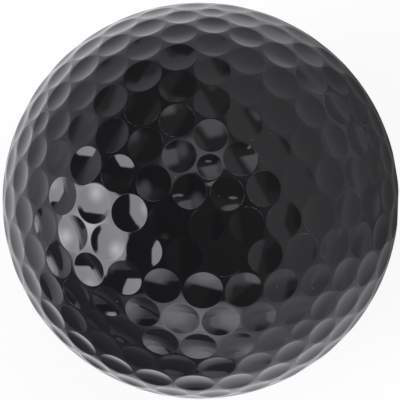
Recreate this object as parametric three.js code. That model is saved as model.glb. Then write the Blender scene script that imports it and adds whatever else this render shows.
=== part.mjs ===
// A floating golf ball: a light rubber core inside a cover moulded in two halves.
// Millimetres, +Z up along the ball's pole axis, origin at the centre of the ball.
// The 392 dimples lie on an icosahedron's pattern, 196 on each half, and the parting
// line waves between the two rows beside it, so no dimple is cut by it.
import * as THREE from 'three';
import { ConvexHull } from 'three/addons/math/ConvexHull.js';
import { mergeVertices } from 'three/addons/utils/BufferGeometryUtils.js';

// Ball, cover and core
const ballDiameter = 42.67;
const coverThickness = 2.0;
const coreGap = 0.1; // drawn between the core and the cover that is moulded onto it
const seamGap = 0.04; // between the two halves, along the parting line
const seamWave = 0.42; // how far the parting line swings up and down from the equator
const seamLand = 0.08; // least land that a dimple's rim leaves beside the parting line

// Dimples: the diameter across the rim, by place in the pattern, and the dish's slope
const cornerDimple = 2.7;
const cornerRingDimple = 3.6;
const edgeDimple = 3.84;
const midEdgeDimple = 3.82;
const insetDimple = 3.76;
const sideDimple = 3.98;
const faceDimple = 4.2;
const partingRowDimple = 3.6;
const rimSlope = 11.6; // degrees, of the dish at its rim, down from the rim's plane

// Places in the pattern: degrees from a corner, and turned from the edge that leaves it
const cornerRingAngle = 9.5;
const edgeAngle = 20.45;
const insetAngle = 17.3;
const sideAngle = 27.65;
const sideTurn = 22.65;
const rowShift = 4.36; // degrees that the row on the equator moves towards its own pole

// Facets
const rimPoints = 12;
const dishPoints = 6; // on the one ring between a dimple's rim and its middle
const dishRing = 0.52; // where that ring lies, as a part of the way out to the rim
const seamPoints = 3; // on the parting line, from each dip to the next rise
const innerFacet = 9; // degrees between the rings of points on the core

const degree = Math.PI / 180;
const quarterTurn = 90 * degree;
const poleAxis = new THREE.Vector3(0, 0, 1);
const ballRadius = ballDiameter / 2;
const cavityRadius = ballRadius - coverThickness;
const coreRadius = cavityRadius - coreGap;
const sideBySide = 360 * degree / 5; // between the edges that leave a corner
const cornerSpacing = Math.atan(2); // between neighbouring corners of an icosahedron
const faceCentreAngle = Math.acos(Math.sqrt((5 + 2 * Math.sqrt(5)) / 15));
const firstPartingDimple = sideBySide / 4; // its longitude on the upper half
const rowReach = 2 * degree; // how far the equator's own row strays from the equator
const sameSpot = 1 * degree; // closer than any two dimples
const pattern = evenPattern();
const partingRowCount = pattern.filter(({ spot }) => isOnEquator(spot)).length;
const partingPitch = 360 * degree / partingRowCount;
const seamCount = partingRowCount * seamPoints * 2;

function direction(polarAngle, longitude) {
  return new THREE.Vector3(
    Math.sin(polarAngle) * Math.cos(longitude),
    Math.sin(polarAngle) * Math.sin(longitude),
    Math.cos(polarAngle),
  );
}

function polarAngleOf(spot) {
  return Math.acos(THREE.MathUtils.clamp(spot.z, -1, 1));
}

function longitudeOf(spot) {
  return Math.atan2(spot.y, spot.x);
}

function isOnEquator(spot) {
  return Math.abs(polarAngleOf(spot) - quarterTurn) < rowReach;
}

// The spot that lies an angle away from one spot on the way to another
function along(from, to, angle) {
  const tangent = to.clone().addScaledVector(from, -from.dot(to)).normalize();
  return from.clone().multiplyScalar(Math.cos(angle)).addScaledVector(tangent, Math.sin(angle));
}

// The lower half is the upper one mirrored in the equator and turned by half a dimple
function toLowerHalf(spot) {
  return new THREE.Vector3(spot.x, spot.y, -spot.z).applyAxisAngle(poleAxis, partingPitch / 2);
}

function icosahedronCorners() {
  const corners = [poleAxis.clone(), poleAxis.clone().negate()];
  for (let k = 0; k < 5; k += 1) {
    corners.push(direction(cornerSpacing, k * sideBySide));
    corners.push(direction(Math.PI - cornerSpacing, (k + 0.5) * sideBySide));
  }
  return corners;
}

// Every dimple of the even pattern, each a direction and a diameter
function evenPattern() {
  const spots = [];
  const corners = icosahedronCorners();
  const add = (spot, diameter) => {
    if (!spots.some((other) => other.spot.angleTo(spot) < sameSpot)) {
      spots.push({ spot, diameter });
    }
  };
  for (const corner of corners) {
    add(corner, cornerDimple);
    const neighbours = corners.filter((other) => (
      Math.abs(corner.angleTo(other) - cornerSpacing) < sameSpot
    ));
    for (const neighbour of neighbours) {
      const place = (angle, turn, diameter) => {
        add(along(corner, neighbour, angle).applyAxisAngle(corner, turn), diameter);
      };
      place(cornerRingAngle * degree, 0, cornerRingDimple);
      place(edgeAngle * degree, 0, edgeDimple);
      place(cornerSpacing / 2, 0, midEdgeDimple);
      place(insetAngle * degree, sideBySide / 2, insetDimple);
      place(sideAngle * degree, sideTurn * degree, sideDimple);
      place(sideAngle * degree, -sideTurn * degree, sideDimple);
      place(faceCentreAngle, sideBySide / 2, faceDimple);
    }
  }
  return spots;
}

// The upper half takes the pattern down to the row on the equator, and draws it
// towards its pole, which leaves room there for the lower half's own row
function upperDimples() {
  const ownSpots = pattern.filter(({ spot }) => spot.z > 0 || isOnEquator(spot));
  return ownSpots.map(({ spot, diameter }) => {
    const polarAngle = polarAngleOf(spot);
    const folded = Math.min(polarAngle, Math.PI - polarAngle);
    const drawn = folded * (1 - rowShift * degree / quarterTurn);
    return makeDimple(
      direction(drawn, longitudeOf(spot)),
      isOnEquator(spot) ? partingRowDimple : diameter,
    );
  });
}

function makeDimple(spot, diameter) {
  const rimRadius = diameter / 2;
  const rimAngle = Math.asin(rimRadius / ballRadius);
  const dishRadius = rimRadius / Math.sin(rimSlope * degree);
  // The dish is part of a ball whose centre stands outside, on the dimple's axis
  const dishCentre = ballRadius * Math.cos(rimAngle) + dishRadius * Math.cos(rimSlope * degree);
  return { spot, rimAngle, dishRadius, dishCentre };
}

function surfaceRadius(spot, dimples) {
  let radius = ballRadius;
  for (const dimple of dimples) {
    const angle = spot.angleTo(dimple.spot);
    if (angle < dimple.rimAngle) {
      const across = dimple.dishCentre * Math.sin(angle);
      const depth = Math.sqrt(dimple.dishRadius ** 2 - across ** 2);
      radius = Math.min(radius, dimple.dishCentre * Math.cos(angle) - depth);
    }
  }
  return radius;
}

// A ring of spots round a dimple's axis
function ringAround(centre, angle, count, startTurn) {
  const reference = Math.abs(centre.z) > 0.99 ? new THREE.Vector3(1, 0, 0) : poleAxis;
  const first = along(centre, reference, angle).applyAxisAngle(centre, startTurn);
  return Array.from({ length: count }, (_, k) => (
    first.clone().applyAxisAngle(centre, k * 2 * Math.PI / count)
  ));
}

// The parting line dips under each dimple of the upper row and rises over each of the
// lower one
function seamLatitude(longitude) {
  const phase = partingRowCount * (longitude - firstPartingDimple);
  return -seamWave / ballRadius * Math.cos(phase);
}

function seamSpots() {
  return Array.from({ length: seamCount }, (_, k) => {
    const longitude = firstPartingDimple + k * 2 * Math.PI / seamCount;
    return direction(quarterTurn - seamLatitude(longitude), longitude);
  });
}

function heightAboveSeam(spot) {
  return quarterTurn - polarAngleOf(spot) - seamLatitude(longitudeOf(spot));
}

function hullTriangles(spots) {
  const numberOf = new Map(spots.map((spot, k) => [spot, k]));
  const hull = new ConvexHull().setFromPoints(spots);
  return hull.faces.map((face) => {
    const corners = [];
    let edge = face.edge;
    do {
      corners.push(numberOf.get(edge.head().point));
      edge = edge.next;
    } while (edge !== face.edge);
    return corners;
  });
}

// Joins spots above the parting line into triangles on the sphere. The seam's own
// spots come first, in order, and the surface ends along them.
function triangulateAboveSeam(spots) {
  const farPole = poleAxis.clone().negate();
  return hullTriangles([...spots, farPole]).filter((corners) => {
    if (corners.includes(spots.length)) {
      return false;
    }
    if (corners.some((corner) => corner >= seamCount)) {
      return true;
    }
    const [a, b, c] = corners;
    return (b - a) * (c - b) * (a - c) < 0;
  });
}

// The fan of triangles from a dimple's rim over its ring to its middle
function dishTriangles(rim, ring, middle) {
  const triangles = [];
  let start = 0;
  ring.forEach((corner, k) => {
    const next = ring[(k + 1) % ring.length];
    const end = Math.round((k + 1) * rim.length / ring.length);
    for (; start < end; start += 1) {
      triangles.push([corner, rim[start], rim[(start + 1) % rim.length]]);
    }
    triangles.push([corner, rim[end % rim.length], next]);
    triangles.push([middle, corner, next]);
  });
  return triangles;
}

function clearOfOthers(dimple, others) {
  return others.every((other) => (
    other === dimple || other.spot.angleTo(dimple.spot) > other.rimAngle + dimple.rimAngle
  ));
}

// The upper half's outer surface: directions, and the triangles that join them
function upperOuterSkin(dimples, allDimples) {
  const spots = seamSpots();
  const clearOfSeam = (spot) => heightAboveSeam(spot) > seamLand / ballRadius;
  const owner = new Array(spots.length).fill(null);
  const dishes = [];
  const add = (spot, dimple) => {
    spots.push(spot);
    owner.push(dimple);
    return spots.length - 1;
  };
  for (const dimple of dimples) {
    const rim = ringAround(dimple.spot, dimple.rimAngle, rimPoints, 0);
    const halfStep = Math.PI / dishPoints;
    const ring = ringAround(dimple.spot, dishRing * dimple.rimAngle, dishPoints, halfStep);
    if (clearOfOthers(dimple, allDimples) && rim.every(clearOfSeam)) {
      dishes.push({ dimple, rim: rim.map((spot) => add(spot, dimple)), ring });
      continue;
    }
    // A dimple that runs into another, or over the parting line, is joined spot by spot
    const loose = [...rim, ...ring, dimple.spot.clone()];
    for (const spot of loose) {
      const free = allDimples.every((other) => (
        other === dimple || spot.angleTo(other.spot) > other.rimAngle
      ));
      if (free && clearOfSeam(spot)) {
        add(spot, null);
      }
    }
  }
  const land = triangulateAboveSeam(spots).filter(([a, b, c]) => (
    owner[a] === null || owner[a] !== owner[b] || owner[b] !== owner[c]
  ));
  const floors = dishes.flatMap(({ dimple, rim, ring }) => {
    const ringNumbers = ring.map((spot) => add(spot, dimple));
    return dishTriangles(rim, ringNumbers, add(dimple.spot.clone(), dimple));
  });
  return { spots, triangles: [...land, ...floors] };
}

// The upper half of the smooth sphere that the core and the cover share
function upperInnerSkin() {
  const spots = seamSpots();
  const step = innerFacet * degree;
  const lastRing = quarterTurn - seamWave / ballRadius - step / 2;
  spots.push(poleAxis.clone());
  for (let polarAngle = step; polarAngle < lastRing; polarAngle += step) {
    const count = Math.round(2 * Math.PI * Math.sin(polarAngle) / step);
    const startTurn = (polarAngle / step) * partingPitch / 4;
    spots.push(...ringAround(poleAxis, polarAngle, count, startTurn));
  }
  return { spots, triangles: triangulateAboveSeam(spots) };
}

// The seam's own spots move up by half of the gap between the halves
function openSeam(spots) {
  return spots.map((spot, k) => {
    if (k >= seamCount) {
      return spot;
    }
    const lifted = polarAngleOf(spot) - seamGap / 2 / ballRadius;
    return direction(lifted, longitudeOf(spot));
  });
}

function geometryFrom(points, triangles) {
  const geometry = new THREE.BufferGeometry();
  geometry.setAttribute('position', new THREE.Float32BufferAttribute(
    points.flatMap((point) => point.toArray()),
    3,
  ));
  geometry.setIndex(triangles.flat());
  return geometry;
}

function flipped(triangles) {
  return triangles.map(([a, b, c]) => [a, c, b]);
}

// One half of the cover: dimpled outside, smooth inside, with a radial face between
// them along the parting line
function coverHalf(outer, inner, dimples, isLower) {
  const outside = openSeam(outer.spots).map((spot) => (
    spot.clone().multiplyScalar(surfaceRadius(spot, dimples))
  ));
  const inside = openSeam(inner.spots).map((spot) => spot.clone().multiplyScalar(cavityRadius));
  const shift = outside.length;
  const triangles = [...outer.triangles];
  for (const corners of flipped(inner.triangles)) {
    triangles.push(corners.map((corner) => corner + shift));
  }
  for (let k = 0; k < seamCount; k += 1) {
    const next = (k + 1) % seamCount;
    triangles.push([next, k, k + shift]);
    triangles.push([next, k + shift, next + shift]);
  }
  const points = [...outside, ...inside];
  if (isLower) {
    return geometryFrom(points.map(toLowerHalf), flipped(triangles));
  }
  return geometryFrom(points, triangles);
}

// The core: the same smooth sphere, a little smaller, with its two halves joined
function coreGeometry(inner) {
  const upper = inner.spots.map((spot) => spot.clone().multiplyScalar(coreRadius));
  const lower = upper.map(toLowerHalf);
  const lowerTriangles = flipped(inner.triangles).map((corners) => (
    corners.map((corner) => corner + upper.length)
  ));
  return mergeVertices(
    geometryFrom([...upper, ...lower], [...inner.triangles, ...lowerTriangles]),
    1e-3,
  );
}

function piece(name, geometry, material) {
  geometry.computeVertexNormals();
  const mesh = new THREE.Mesh(geometry, material);
  mesh.name = name;
  return mesh;
}

function glossBlack() {
  return new THREE.MeshStandardMaterial({
    color: 0x0b0b0c,
    roughness: 0.08,
    metalness: 0,
    flatShading: true,
  });
}

function paleRubber() {
  return new THREE.MeshStandardMaterial({
    color: 0xc9c4b6,
    roughness: 0.7,
    metalness: 0,
    flatShading: true,
  });
}

const upper = upperDimples();
const everyDimple = [...upper];
for (const dimple of upper) {
  everyDimple.push({ ...dimple, spot: toLowerHalf(dimple.spot) });
}
const outerSkin = upperOuterSkin(upper, everyDimple);
const innerSkin = upperInnerSkin();

const ball = new THREE.Group();
ball.name = 'floating_golf_ball';
ball.add(piece('core', coreGeometry(innerSkin), paleRubber()));
ball.add(piece(
  'cover_upper_half',
  coverHalf(outerSkin, innerSkin, everyDimple, false),
  glossBlack(),
));
ball.add(piece(
  'cover_lower_half',
  coverHalf(outerSkin, innerSkin, everyDimple, true),
  glossBlack(),
));

export default ball;
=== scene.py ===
from math import acos, atan, atan2, cos, pi, radians, sin, sqrt

import bmesh
import bpy
from mathutils import Matrix, Quaternion, Vector


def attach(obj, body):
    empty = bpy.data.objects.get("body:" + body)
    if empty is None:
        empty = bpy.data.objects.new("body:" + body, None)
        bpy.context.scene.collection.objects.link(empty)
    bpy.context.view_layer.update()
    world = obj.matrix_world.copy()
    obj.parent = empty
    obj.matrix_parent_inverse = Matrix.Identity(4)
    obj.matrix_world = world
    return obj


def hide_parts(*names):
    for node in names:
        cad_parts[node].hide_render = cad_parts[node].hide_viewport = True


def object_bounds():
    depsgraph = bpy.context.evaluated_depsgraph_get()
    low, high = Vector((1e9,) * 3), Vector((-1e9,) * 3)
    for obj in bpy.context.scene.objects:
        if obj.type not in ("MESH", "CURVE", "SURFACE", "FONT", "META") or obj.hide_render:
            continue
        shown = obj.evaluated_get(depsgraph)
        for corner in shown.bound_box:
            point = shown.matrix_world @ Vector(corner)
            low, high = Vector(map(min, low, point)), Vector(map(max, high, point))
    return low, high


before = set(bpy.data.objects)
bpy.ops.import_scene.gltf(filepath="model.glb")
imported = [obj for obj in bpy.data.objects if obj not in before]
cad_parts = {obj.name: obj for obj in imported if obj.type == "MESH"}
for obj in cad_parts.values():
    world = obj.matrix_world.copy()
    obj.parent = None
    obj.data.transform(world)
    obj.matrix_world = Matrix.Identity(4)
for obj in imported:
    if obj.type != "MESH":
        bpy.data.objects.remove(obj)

cadLow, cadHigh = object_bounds()
mm = 0.001
ballRadius = (cadHigh.x - cadLow.x) / 2
up = Vector((0, 0, 1))


# Cover: the dimples' places

pattern = {
    "cornerSpacing": atan(2),  # between neighbouring corners of an icosahedron
    "faceCentre": acos(sqrt((5 + 2 * sqrt(5)) / 15)),
    "fifth": radians(72),
    "cornerRing": radians(9.5),
    "edge": radians(20.45),
    "inset": radians(17.3),
    "side": radians(27.65),
    "sideTurn": radians(22.65),
    "rowShift": radians(4.36),  # from the equator towards the half's own pole
    "rowReach": radians(2),  # how far the equator's own row strays from it
    "sameSpot": radians(1),  # closer than any two dimples
}

dimpleDiameters = {
    "corner": 2.70 * mm,
    "cornerRing": 3.60 * mm,
    "edge": 3.84 * mm,
    "midEdge": 3.82 * mm,
    "inset": 3.76 * mm,
    "side": 3.98 * mm,
    "face": 4.20 * mm,
    "partingRow": 3.60 * mm,
}


def direction(polarAngle, longitude):
    return Vector((
        sin(polarAngle) * cos(longitude),
        sin(polarAngle) * sin(longitude),
        cos(polarAngle),
    ))


def polarAngleOf(spot):
    return acos(max(-1, min(1, spot.z)))


def isOnEquator(spot):
    return abs(polarAngleOf(spot) - pi / 2) < pattern["rowReach"]


def icosahedronCorners():
    corners = [up.copy(), -up]
    for k in range(5):
        corners.append(direction(pattern["cornerSpacing"], k * pattern["fifth"]))
        corners.append(direction(pi - pattern["cornerSpacing"], (k + 0.5) * pattern["fifth"]))
    return corners


def evenPattern():
    halfFifth = pattern["fifth"] / 2
    places = [  # angle from a corner, turn from an edge that leaves it, kind
        (pattern["cornerRing"], 0, "cornerRing"),
        (pattern["edge"], 0, "edge"),
        (pattern["cornerSpacing"] / 2, 0, "midEdge"),
        (pattern["inset"], halfFifth, "inset"),
        (pattern["side"], pattern["sideTurn"], "side"),
        (pattern["side"], -pattern["sideTurn"], "side"),
        (pattern["faceCentre"], halfFifth, "face"),
    ]
    spots = []

    def add(spot, kind):
        if all(spot.angle(other) > pattern["sameSpot"] for other, _ in spots):
            spots.append((spot, kind))

    corners = icosahedronCorners()
    for corner in corners:
        add(corner, "corner")
        for other in corners:
            if abs(corner.angle(other) - pattern["cornerSpacing"]) > pattern["sameSpot"]:
                continue
            tangent = (other - corner * corner.dot(other)).normalized()
            for angle, turn, kind in places:
                spot = corner * cos(angle) + tangent * sin(angle)
                add(Quaternion(corner, turn) @ spot, kind)
    return spots


def upperDimples():
    # The pattern down to the row on the equator, drawn a little towards the pole
    drawnBy = 1 - pattern["rowShift"] / (pi / 2)
    spots = []
    for spot, kind in evenPattern():
        if spot.z < 0 and not isOnEquator(spot):
            continue
        polarAngle = polarAngleOf(spot)
        folded = min(polarAngle, pi - polarAngle)
        place = direction(folded * drawnBy, atan2(spot.y, spot.x))
        spots.append((place, "partingRow" if isOnEquator(spot) else kind))
    return spots


# Cover: one dimple, and the shell of a half

cover = {
    "thickness": 2.0 * mm,
    "rimSlope": radians(11.6),  # of the dish at its rim, down from the rim's plane
    "lipRadius": 0.33 * mm,  # the painted edge between the dish and the land
    "rimPoints": 44,
    "dishRings": 5,
    "lipRings": 3,
    "mergeWithin": 0.0001 * mm,
    "seamGap": 0.04 * mm,
    "seamWave": 0.42 * mm,
    "seamWaves": 30,
    "seamPoints": 16,  # to each wave of the parting line
    "firstWave": radians(18),
    "seamEdge": 0.03 * mm,  # the eased edge of each half along the parting line
    "seamEdgeFaces": 2,
    "innerRings": 12,
    "sharpAngle": radians(40),
}


def dishProfile(diameter):
    # From the middle of the dish out over its rounded lip to the land, in the XZ plane
    rimRadius = diameter / 2
    lip = cover["lipRadius"]
    dishRadius = rimRadius / sin(cover["rimSlope"])
    dishCentre = sqrt(ballRadius**2 - rimRadius**2) + dishRadius * cos(cover["rimSlope"])
    fromBall = ballRadius - lip
    fromDish = dishRadius + lip
    lipZ = (dishCentre**2 + fromBall**2 - fromDish**2) / (2 * dishCentre)
    lipX = sqrt(fromBall**2 - lipZ**2)
    dishEnd = atan2(lipX, dishCentre - lipZ)
    landStart = atan2(lipX, lipZ)
    points = []
    for k in range(cover["dishRings"] + 1):
        angle = dishEnd * k / cover["dishRings"]
        points.append((dishRadius * sin(angle), 0, dishCentre - dishRadius * cos(angle)))
    for k in range(1, cover["lipRings"] + 1):
        angle = (dishEnd + landStart) * k / cover["lipRings"] - dishEnd
        points.append((lipX + lip * sin(angle), 0, lipZ + lip * cos(angle)))
    return points


def makeDish(kind):
    # One dimple round the Z axis, from its middle to the land, with its lip marked
    work = bmesh.new()
    lip = work.verts.layers.float.new("lip")
    verts = [work.verts.new(point) for point in dishProfile(dimpleDiameters[kind])]
    for vert in verts[cover["dishRings"] + 1:-1]:
        vert[lip] = 1
    edges = [work.edges.new(pair) for pair in zip(verts, verts[1:])]
    bmesh.ops.spin(
        work, geom=verts + edges, cent=(0, 0, 0), axis=up, angle=2 * pi,
        steps=cover["rimPoints"], use_merge=True,
    )
    bmesh.ops.remove_doubles(work, verts=work.verts, dist=cover["mergeWithin"])
    mesh = bpy.data.meshes.new("dish_" + kind)
    work.to_mesh(mesh)
    work.free()
    return mesh


def addDimples(shell):
    dishes = {kind: makeDish(kind) for kind in dimpleDiameters}
    for spot, kind in upperDimples():
        already = len(shell.verts)
        shell.from_mesh(dishes[kind])
        shell.verts.ensure_lookup_table()
        turn = up.rotation_difference(spot).to_matrix().to_4x4()
        bmesh.ops.transform(shell, matrix=turn, verts=shell.verts[already:])
    for dish in dishes.values():
        bpy.data.meshes.remove(dish)


def seamLatitude(longitude):
    # The parting line dips under each dimple of this half's row and rises between them
    phase = cover["seamWaves"] * (longitude - cover["firstWave"])
    return (cover["seamGap"] / 2 - cover["seamWave"] * cos(phase)) / ballRadius


def addSeam(shell):
    count = cover["seamWaves"] * cover["seamPoints"]
    ring = bmesh.ops.create_circle(shell, segments=count, radius=ballRadius)["verts"]
    for vert in ring:
        longitude = atan2(vert.co.y, vert.co.x)
        vert.co = ballRadius * direction(pi / 2 - seamLatitude(longitude), longitude)
    return [edge for edge in shell.edges if edge.is_wire]


def fillLand(shell, seam):
    # The rims and the parting line are laid flat, filled, and put back on the sphere
    rims = [edge for edge in shell.edges if edge.is_boundary]
    places = {vert: vert.co.copy() for edge in rims + seam for vert in edge.verts}
    for vert, place in places.items():
        spot = place.normalized()
        vert.co = Vector((spot.x, spot.y, 0)) / (1 + spot.z)
    bmesh.ops.triangle_fill(shell, use_beauty=True, edges=rims + seam, normal=up)
    for vert, place in places.items():
        vert.co = place


def closeInside(shell, seam):
    # The face along the parting line, then the smooth inside, ring by ring to its pole
    cavityRadius = ballRadius - cover["thickness"]
    edges = seam
    for k in range(cover["innerRings"] + 1):
        made = bmesh.ops.extrude_edge_only(shell, edges=edges)["geom"]
        verts = [item for item in made if isinstance(item, bmesh.types.BMVert)]
        edges = [item for item in made if isinstance(item, bmesh.types.BMEdge)]
        upwards = k / cover["innerRings"]
        for vert in verts:
            longitude = atan2(vert.co.y, vert.co.x)
            latitude = seamLatitude(longitude)
            latitude += (pi / 2 - latitude) * upwards
            vert.co = cavityRadius * direction(pi / 2 - latitude, longitude)
    bmesh.ops.pointmerge(shell, verts=verts, merge_co=up * cavityRadius)


def easeSeamEdge(shell, seam):
    bmesh.ops.bevel(
        shell, geom=seam, offset=cover["seamEdge"], segments=cover["seamEdgeFaces"],
        profile=0.5, affect="EDGES", material=-1,
    )


def makeCoverHalf(name, node, isLower):
    shell = bmesh.new()
    addDimples(shell)
    seam = addSeam(shell)
    fillLand(shell, seam)
    closeInside(shell, seam)
    easeSeamEdge(shell, seam)
    if isLower:
        halfPitch = pi / cover["seamWaves"]
        bmesh.ops.scale(shell, vec=(1, 1, -1), verts=shell.verts)
        bmesh.ops.rotate(
            shell, cent=(0, 0, 0), matrix=Matrix.Rotation(halfPitch, 3, "Z"), verts=shell.verts,
        )
    bmesh.ops.recalc_face_normals(shell, faces=shell.faces)
    mesh = bpy.data.meshes.new(name)
    shell.to_mesh(mesh)
    shell.free()
    mesh.shade_smooth()
    mesh.set_sharp_from_angle(angle=cover["sharpAngle"])
    piece = bpy.data.objects.new(name, mesh)
    bpy.context.scene.collection.objects.link(piece)
    mesh.materials.append(glossBlack)
    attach(piece, "root")
    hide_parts(node)
    print("made", name, "with", len(mesh.polygons), "faces")


# Materials

noiseSpread = (0.3, 0.7)  # where most of the values of a noise pattern lie


def newMaterial(name):
    material = bpy.data.materials.new(name)
    material.use_nodes = True
    shader = material.node_tree.nodes["Principled BSDF"]
    print("making the finish", name)
    return material, material.node_tree, shader


def feed(tree, socket, value):
    # A socket gets what another node gives, a colour or a number
    if isinstance(value, bpy.types.NodeSocket):
        tree.links.new(value, socket)
    elif isinstance(value, tuple):
        socket.default_value = (*value, 1)
    else:
        socket.default_value = value


def addNoise(tree, position, noise):
    perMetre, detail = noise
    node = tree.nodes.new("ShaderNodeTexNoise")
    feed(tree, node.inputs["Vector"], position)
    feed(tree, node.inputs["Scale"], perMetre)
    feed(tree, node.inputs["Detail"], detail)
    return node.outputs["Fac"]


def addRange(tree, value, spread, ends, shape="LINEAR"):
    # Stretches a value's own spread to the ends
    node = tree.nodes.new("ShaderNodeMapRange")
    node.interpolation_type = shape
    feed(tree, node.inputs["Value"], value)
    names = ("From Min", "From Max", "To Min", "To Max")
    for name, number in zip(names, (*spread, *ends)):
        feed(tree, node.inputs[name], number)
    return node.outputs["Result"]


def addMaths(tree, operation, *values):
    node = tree.nodes.new("ShaderNodeMath")
    node.operation = operation
    for socket, value in zip(node.inputs, values):
        feed(tree, socket, value)
    return node.outputs["Value"]


def addColourMix(tree, share, first, second):
    mix = tree.nodes.new("ShaderNodeMix")
    mix.data_type = "RGBA"
    # Of its sockets, 6 and 7 take the colours, and 2 gives the mixed one
    for number, value in ((0, share), (6, first), (7, second)):
        feed(tree, mix.inputs[number], value)
    return mix.outputs[2]


def addShaderMix(tree, share, first, second):
    mix = tree.nodes.new("ShaderNodeMixShader")
    for socket, value in zip(mix.inputs, (share, first, second)):
        feed(tree, socket, value)
    return mix.outputs["Shader"]


def addBump(tree, shader, height, distance):
    bump = tree.nodes.new("ShaderNodeBump")
    feed(tree, bump.inputs["Strength"], 1)
    feed(tree, bump.inputs["Distance"], distance)
    feed(tree, bump.inputs["Height"], height)
    feed(tree, shader.inputs["Normal"], bump.outputs["Normal"])


def addLipHighlightAndWear(tree, position, finish):
    # Along the dimples' lips, more here than there: a painted highlight, a lighter colour standing in
    # for the light the rounded lips catch, and a coat worn thin and dull
    lip = tree.nodes.new("ShaderNodeAttribute")
    lip.attribute_name = "lip"
    patches = addNoise(tree, position, finish["highlightAndWearPatches"])
    strength = addRange(tree, patches, finish["highlightAndWearSpread"], (finish["leastHighlightAndWear"], 1))
    lipBreaks = addNoise(tree, position, finish["lipBreaks"])
    grain = addRange(tree, lipBreaks, finish["lipBreakSpread"], (finish["leastLipBreak"], 1))
    along = addMaths(tree, "MULTIPLY", lip.outputs["Fac"], strength)
    return addMaths(tree, "MULTIPLY", along, grain)


def addDust(tree, position, finish):
    # A speck in a few of the cells of a fine pattern
    cells = tree.nodes.new("ShaderNodeTexVoronoi")
    feed(tree, cells.inputs["Vector"], position)
    feed(tree, cells.inputs["Scale"], finish["dustCells"])
    near = addMaths(tree, "LESS_THAN", cells.outputs["Distance"], finish["speckSize"])
    hue = tree.nodes.new("ShaderNodeSeparateColor")
    feed(tree, hue.inputs["Color"], cells.outputs["Color"])
    chosen = addMaths(tree, "LESS_THAN", hue.outputs["Red"], finish["dustShare"])
    return addMaths(tree, "MULTIPLY", near, chosen)


def makeGlossBlack():
    finish = {
        "deep": (0.0038, 0.0038, 0.0042),
        "lifted": (0.0062, 0.0062, 0.0068),
        # the lips' painted highlight, mixed with their wear
        "highlightAndWear": (0.085, 0.085, 0.089),
        "dust": (0.10, 0.10, 0.105),
        "clouds": (160, 3),  # a noise pattern: its size, per metre, and its detail
        "haze": (0.03, 0.06),
        "dull": 0.25,
        "highlightAndWearPatches": (260, 2),
        "highlightAndWearSpread": (0.53, 0.66),
        "leastHighlightAndWear": 0.04,
        "lipBreaks": (2200, 1),
        "lipBreakSpread": (0.44, 0.60),
        "leastLipBreak": 0.2,
        "dustCells": 800,  # per metre
        "speckSize": 0.06,
        "dustShare": 0.16,
        "orangePeel": (900, 1),
        "peelHeight": 0.0012 * mm,
        "ior": 1.5,
    }
    material, tree, shader = newMaterial("glossBlack")
    position = tree.nodes.new("ShaderNodeTexCoord").outputs["Object"]
    clouds = addNoise(tree, position, finish["clouds"])
    lipHighlightAndWear = addLipHighlightAndWear(tree, position, finish)
    dust = addDust(tree, position, finish)
    colour = addColourMix(tree, clouds, finish["deep"], finish["lifted"])
    # A painted highlight along the lips: a lighter colour where they would catch light, with their wear
    colour = addColourMix(tree, lipHighlightAndWear, colour, finish["highlightAndWear"])
    colour = addColourMix(tree, dust, colour, finish["dust"])
    feed(tree, shader.inputs["Base Color"], colour)
    haze = addRange(tree, clouds, noiseSpread, finish["haze"])
    dullness = addMaths(tree, "MULTIPLY", addMaths(tree, "MAXIMUM", lipHighlightAndWear, dust), finish["dull"])
    feed(tree, shader.inputs["Roughness"], addMaths(tree, "ADD", haze, dullness))
    peel = addNoise(tree, position, finish["orangePeel"])
    addBump(tree, shader, peel, finish["peelHeight"])
    shader.inputs["IOR"].default_value = finish["ior"]
    return material


def makePaleRubber():
    finish = {
        "light": (0.62, 0.59, 0.51),
        "dark": (0.50, 0.47, 0.39),
        "mottle": (250, 4),  # per metre, and detail
        "grain": (2500, 2),
        "grainHeight": 0.01 * mm,
        "roughness": (0.6, 0.8),
    }
    material, tree, shader = newMaterial("paleRubber")
    position = tree.nodes.new("ShaderNodeTexCoord").outputs["Object"]
    mottle = addNoise(tree, position, finish["mottle"])
    colour = addColourMix(tree, mottle, finish["dark"], finish["light"])
    feed(tree, shader.inputs["Base Color"], colour)
    roughness = addRange(tree, mottle, noiseSpread, finish["roughness"])
    feed(tree, shader.inputs["Roughness"], roughness)
    addBump(tree, shader, addNoise(tree, position, finish["grain"]), finish["grainHeight"])
    return material


# Core

core = {
    "gap": 0.1 * mm,  # to the inside of the cover
    "subdivisions": 6,
}


def makeCore():
    ball = bmesh.new()
    radius = ballRadius - cover["thickness"] - core["gap"]
    bmesh.ops.create_icosphere(ball, subdivisions=core["subdivisions"], radius=radius)
    mesh = bpy.data.meshes.new("rubberCore")
    ball.to_mesh(mesh)
    ball.free()
    mesh.shade_smooth()
    mesh.materials.append(paleRubber)
    piece = bpy.data.objects.new("rubberCore", mesh)
    bpy.context.scene.collection.objects.link(piece)
    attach(piece, "root")
    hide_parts("core")
    print("made rubberCore with", len(mesh.polygons), "faces")


# Camera

camera = {
    "azimuth": radians(-30.15),
    "elevation": radians(80.17),
    "roll": radians(14.77),
    "distance": 25 * ballRadius,
    "lens": 445.5,
    "sensor": 36,
    "shift": (-0.0017, 0.0016),
    "nearest": 0.01,
    "farthest": 20,
}


def cameraTurn():
    azimuth, elevation = camera["azimuth"], camera["elevation"]
    back = Vector((
        sin(azimuth) * cos(elevation),
        -cos(azimuth) * cos(elevation),
        sin(elevation),
    ))
    level = back.to_track_quat("Z", "Y")
    return level @ Quaternion(up, camera["roll"])


def makeCamera():
    data = bpy.data.cameras.new("camera")
    data.lens = camera["lens"]
    data.sensor_width = camera["sensor"]
    data.shift_x, data.shift_y = camera["shift"]
    data.clip_start = camera["nearest"]
    data.clip_end = camera["farthest"]
    eye = bpy.data.objects.new("camera", data)
    bpy.context.scene.collection.objects.link(eye)
    turn = cameraTurn()
    eye.rotation_mode = "QUATERNION"
    eye.rotation_quaternion = turn
    eye.location = turn @ Vector((0, 0, camera["distance"]))
    bpy.context.scene.camera = eye
    print("set up the camera")


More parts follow.
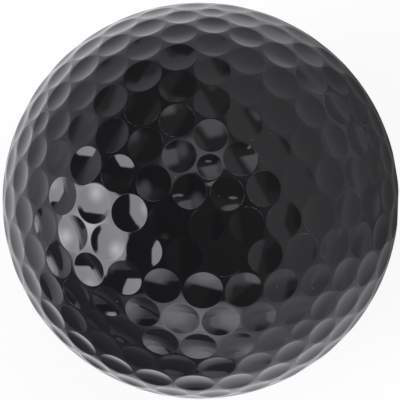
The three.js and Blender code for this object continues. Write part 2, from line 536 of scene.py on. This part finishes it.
# Light: a tent round the ball. Its parts are laid over one another, each with its own
# light, and placed by where the ball mirrors them, as seen from the camera: x to the
# right and y up, from -1 to 1 across the ball. A part is bounded by edges, each the way
# it faces in degrees, how far out it lies and how soft it is, or by ovals, each a centre,
# two half widths and a softness.

white = (1, 1, 1)
tentColour = (1.0, 0.99, 1.05)

tent = [
    {"part": "wall", "light": 0.65},
    {"part": "low wall", "light": 1.22, "edges": [(98, -0.54, 0.13)]},
    {"part": "wall by the softbox", "light": 0.92, "edges": [(0, -0.52, 0.1), (90, 0.3, 0.15)]},
    {
        "part": "opening",
        "light": 0.3,
        "edges": [
            (160, 0.6, 0.04), (106, 0.69, 0.04), (30, 0.32, 0.03), (-12, 0.41, 0.025),
            (-88, 0.49, 0.04),
        ],
    },
    {
        "part": "edge of the opening",
        "light": 0.15,
        "edges": [
            (148, 0.56, 0.015), (-31, -0.35, 0.04), (76, 0.615, 0.04), (47, 0.425, 0.01),
            (-65, -0.03, 0.04),
        ],
    },
    {
        "part": "foot of the opening",
        "light": 0.02,
        "edges": [(69, -0.235, 0.01), (-8, -0.32, 0.12), (198, 0.685, 0.035)],
    },
    {
        "part": "middle of the opening",
        "light": 0.1,
        "edges": [(143, 0.52, 0.02), (78, 0.085, 0.05), (8, 0.045, 0.045), (-92, 0.5, 0.015)],
    },
    {
        "part": "side of the opening",
        "light": 0.175,
        "edges": [(178, 0.03, 0.04), (84, 0.11, 0.04), (8, 0.28, 0.035), (-52, 0.46, 0.02)],
    },
    {
        "part": "flap",
        "light": 0.7,
        "edges": [(90, -0.465, 0.01), (181, 0.5, 0.1), (-102, 0.59, 0.08), (-3, -0.11, 0.04)],
    },
    {
        "part": "low panel",
        "light": 1.97,
        "edges": [(76, -0.465, 0.02), (1, 0.19, 0.03), (-135, 0.6, 0.045), (147, -0.07, 0.075)],
    },
    {"part": "low panel's lamp", "light": 3.03, "inside": [((-0.035, -0.61), (0.13, 0.095), 0.065)]},
    {"part": "high panel's corner", "light": 1.1, "inside": [((-0.14, 0.15), (0.06, 0.085), 0.04)]},
    {
        "part": "high panel",
        "light": 1.62,
        "edges": [(-79, -0.14, 0.01), (35, 0.26, 0.045), (104, 0.315, 0.04), (186, 0.065, 0.04)],
    },
    {"part": "lamp", "light": 2.4, "inside": [((0.065, 0.08), (0.05, 0.015), 0.01)]},
    {
        "part": "softbox",
        "light": 5.1,
        "edges": [
            (0, -0.355, 0.01), (83, 0.01, 0.01), (180, 0.69, 0.01), (-90, 0.37, 0.01),
            (33, -0.325, 0.01), (150, 0.59, 0.01), (-128, 0.63, 0.01), (-24, -0.22, 0.01),
        ],
    },
    {"part": "softbox's lamp", "light": 11.0, "inside": [((-0.545, -0.125), (0.045, 0.055), 0.07)]},
]


class NodeMaths:
    # Short forms for the arithmetic in a node tree
    def __init__(self, tree):
        self.tree = tree

    def maths(self, operation, *values):
        return addMaths(self.tree, operation, *values)

    def along(self, vector, axis):
        node = self.tree.nodes.new("ShaderNodeVectorMath")
        node.operation = "DOT_PRODUCT"
        first, second = node.inputs[:2]
        feed(self.tree, first, vector)
        feed(self.tree, second, axis)
        return node.outputs["Value"]

    def fade(self, value, edge, softness):
        # 1 below the edge and 0 above it
        spread = (edge - softness, edge + softness)
        return addRange(self.tree, value, spread, (1, 0), "SMOOTHSTEP")

    def reach(self, place, axes):
        # How far out a place is along a direction
        total = 0
        for value, factor in zip(place, axes):
            total = self.maths("ADD", total, self.maths("MULTIPLY", value, factor))
        return total

    def oval(self, place, centre, half):
        # 1 on the oval's edge
        squares = 0
        for value, middle, width in zip(place, centre, half):
            part = self.maths("DIVIDE", self.maths("SUBTRACT", value, middle), width)
            squares = self.maths("ADD", squares, self.maths("POWER", part, 2))
        return self.maths("SQRT", squares)

    def partMask(self, place, part):
        mask = 1
        for facing, out, softness in part.get("edges", []):
            angle = radians(facing)
            across = self.reach(place, (cos(angle), sin(angle)))
            mask = self.maths("MULTIPLY", mask, self.fade(across, out, softness))
        for centre, half, softness in part.get("inside", []):
            away = self.oval(place, centre, half)
            mask = self.maths("MULTIPLY", mask, self.fade(away, 1, softness / half[0]))
        return mask

    def layers(self, place, parts):
        light = 0
        for part in parts:
            change = self.maths("SUBTRACT", part["light"], light)
            added = self.maths("MULTIPLY", self.partMask(place, part), change)
            light = self.maths("ADD", light, added)
        return light

    def ray(self, *kinds):
        # 1 for a ray of any of these kinds
        path = self.tree.nodes.new("ShaderNodeLightPath")
        found = 0
        for kind in kinds:
            found = self.maths("MAXIMUM", found, path.outputs["Is " + kind + " Ray"])
        return found


def mirroredPlace(world):
    # Where the ball mirrors a direction, as seen from the camera: it faces halfway between
    # the direction and the camera there, and the length is that of the two added up
    turn = cameraTurn()
    aim = world.tree.nodes.new("ShaderNodeTexCoord").outputs["Generated"]
    right, above, back = (world.along(aim, turn @ axis) for axis in Matrix.Identity(3))
    barelyOverOne = 1.0001  # keeps the length above 0 straight behind the ball
    square = world.maths("MULTIPLY", world.maths("ADD", back, barelyOverOne), 2)
    length = world.maths("SQRT", square)
    return world.maths("DIVIDE", right, length), world.maths("DIVIDE", above, length)


def makeTent():
    # The tent lights the ball and shows in its gloss; past the floor the camera sees white
    surroundings = bpy.data.worlds.new("tent")
    bpy.context.scene.world = surroundings
    surroundings.use_nodes = True
    tree = surroundings.node_tree
    world = NodeMaths(tree)
    inside = tree.nodes["Background"]
    feed(tree, inside.inputs["Color"], tentColour)
    feed(tree, inside.inputs["Strength"], world.layers(mirroredPlace(world), tent))
    beyond = tree.nodes.new("ShaderNodeBackground")
    feed(tree, beyond.inputs["Color"], white)
    seen = world.ray("Camera", "Transmission")
    look = addShaderMix(tree, seen, inside.outputs["Background"], beyond.outputs["Background"])
    feed(tree, tree.nodes["World Output"].inputs["Surface"], look)
    print("made the tent with", len(tree.nodes), "nodes")


# Floor: its own light is the white that the camera sees. In the ball's gloss it shows a
# painted reflection instead, a glow of painted light and shade, in the same kind of parts as
# the tent's, which are measured from the ball's centre in its radii, right and up as the camera has
# them.

floor = {
    "size": 6.0,  # metres
    "colour": (0.86, 0.86, 0.86),
    "roughness": 0.9,
    "shadowShare": 0.25,  # how much of its look comes from the light that falls on it
    "glow": 1.15,  # brings it to white where no shadow falls
    # Painted light and shade for the ball to mirror: pools of light, a painted shadow and a dark band
    "paintedLight": [
        {"part": "floor", "light": 0.68},
        {"part": "floor in front", "light": 0.96, "edges": [(65, -2.1, 1.75)]},
        {
            "part": "foot of the low panel",
            "light": 2.57,
            "edges": [(109, -8.3, 4.5), (13, -0.7, 4.25), (111, 1.35, 1.8)],
        },
        {
            "part": "foot of the softbox",
            "light": 3.6,
            "edges": [(0, -16.0, 6.0), (96, -0.8, 4.0), (-50, 1.8, 2.5)],
        },
        {"part": "floor near the ball", "light": 1.27, "inside": [((0.2, 0.95), (2.95, 3.4), 2.9)]},
        {"part": "shadow", "light": 0.1, "edges": [(133, 0.75, 1.05), (-102, 0.6, 0.9), (6, 5.6, 5.1)]},
        # Painted shade: the mirrored floor is darker in a band at the lower left, with a darker rim
        {
            "part": "painted dark band",
            "light": 0.16,
            "edges": [(51, -1.7, 0.25), (119, -0.1, 0.75), (-23, 1.4, 1.9)],
        },
        {"part": "floor beyond the band", "light": 0.7, "inside": [((-7.9, -19.8), (3.7, 9.9), 5.5)]},
        {"part": "band's darker rim", "light": 0.17, "inside": [((-4.6, -3.7), (5.4, 1.95), 0.25)]},
    ],
}


def paintedFloorLight(sheet):
    position = sheet.tree.nodes.new("ShaderNodeTexCoord").outputs["Object"]
    turn = cameraTurn()
    right, above, _ = (turn @ axis / ballRadius for axis in Matrix.Identity(3))
    place = (sheet.along(position, right), sheet.along(position, above))
    return sheet.layers(place, floor["paintedLight"])


def addGlow(tree, colour, strength):
    glow = tree.nodes.new("ShaderNodeEmission")
    feed(tree, glow.inputs["Color"], colour)
    feed(tree, glow.inputs["Strength"], strength)
    return glow.outputs["Emission"]


def makePaleFloor():
    material, tree, shader = newMaterial("paleFloor")
    feed(tree, shader.inputs["Base Color"], floor["colour"])
    feed(tree, shader.inputs["Roughness"], floor["roughness"])
    sheet = NodeMaths(tree)
    plain = shader.outputs["BSDF"]
    pale = addShaderMix(tree, floor["shadowShare"], addGlow(tree, white, floor["glow"]), plain)
    look = addShaderMix(tree, sheet.ray("Camera", "Transmission"), plain, pale)
    # Glossy rays see a painted reflection: the floor glows with painted light and shade, though it is
    # no lamp
    mirrored = addGlow(tree, tentColour, paintedFloorLight(sheet))
    look = addShaderMix(tree, sheet.ray("Glossy"), look, mirrored)
    feed(tree, tree.nodes["Material Output"].inputs["Surface"], look)
    return material


def makeFloor():
    sheet = bmesh.new()
    bmesh.ops.create_grid(sheet, x_segments=1, y_segments=1, size=floor["size"] / 2)
    bmesh.ops.translate(sheet, vec=(0, 0, cadLow.z), verts=sheet.verts)
    mesh = bpy.data.meshes.new("floor")
    sheet.to_mesh(mesh)
    sheet.free()
    mesh.materials.append(makePaleFloor())
    piece = bpy.data.objects.new("floor", mesh)
    bpy.context.scene.collection.objects.link(piece)
    print("made the floor")


bpy.context.scene.view_settings.view_transform = "Standard"
glossBlack = makeGlossBlack()
paleRubber = makePaleRubber()
makeCamera()
makeCore()
makeCoverHalf("coverUpperHalf", "cover_upper_half", isLower=False)
makeCoverHalf("coverLowerHalf", "cover_lower_half", isLower=True)
makeFloor()
makeTent()
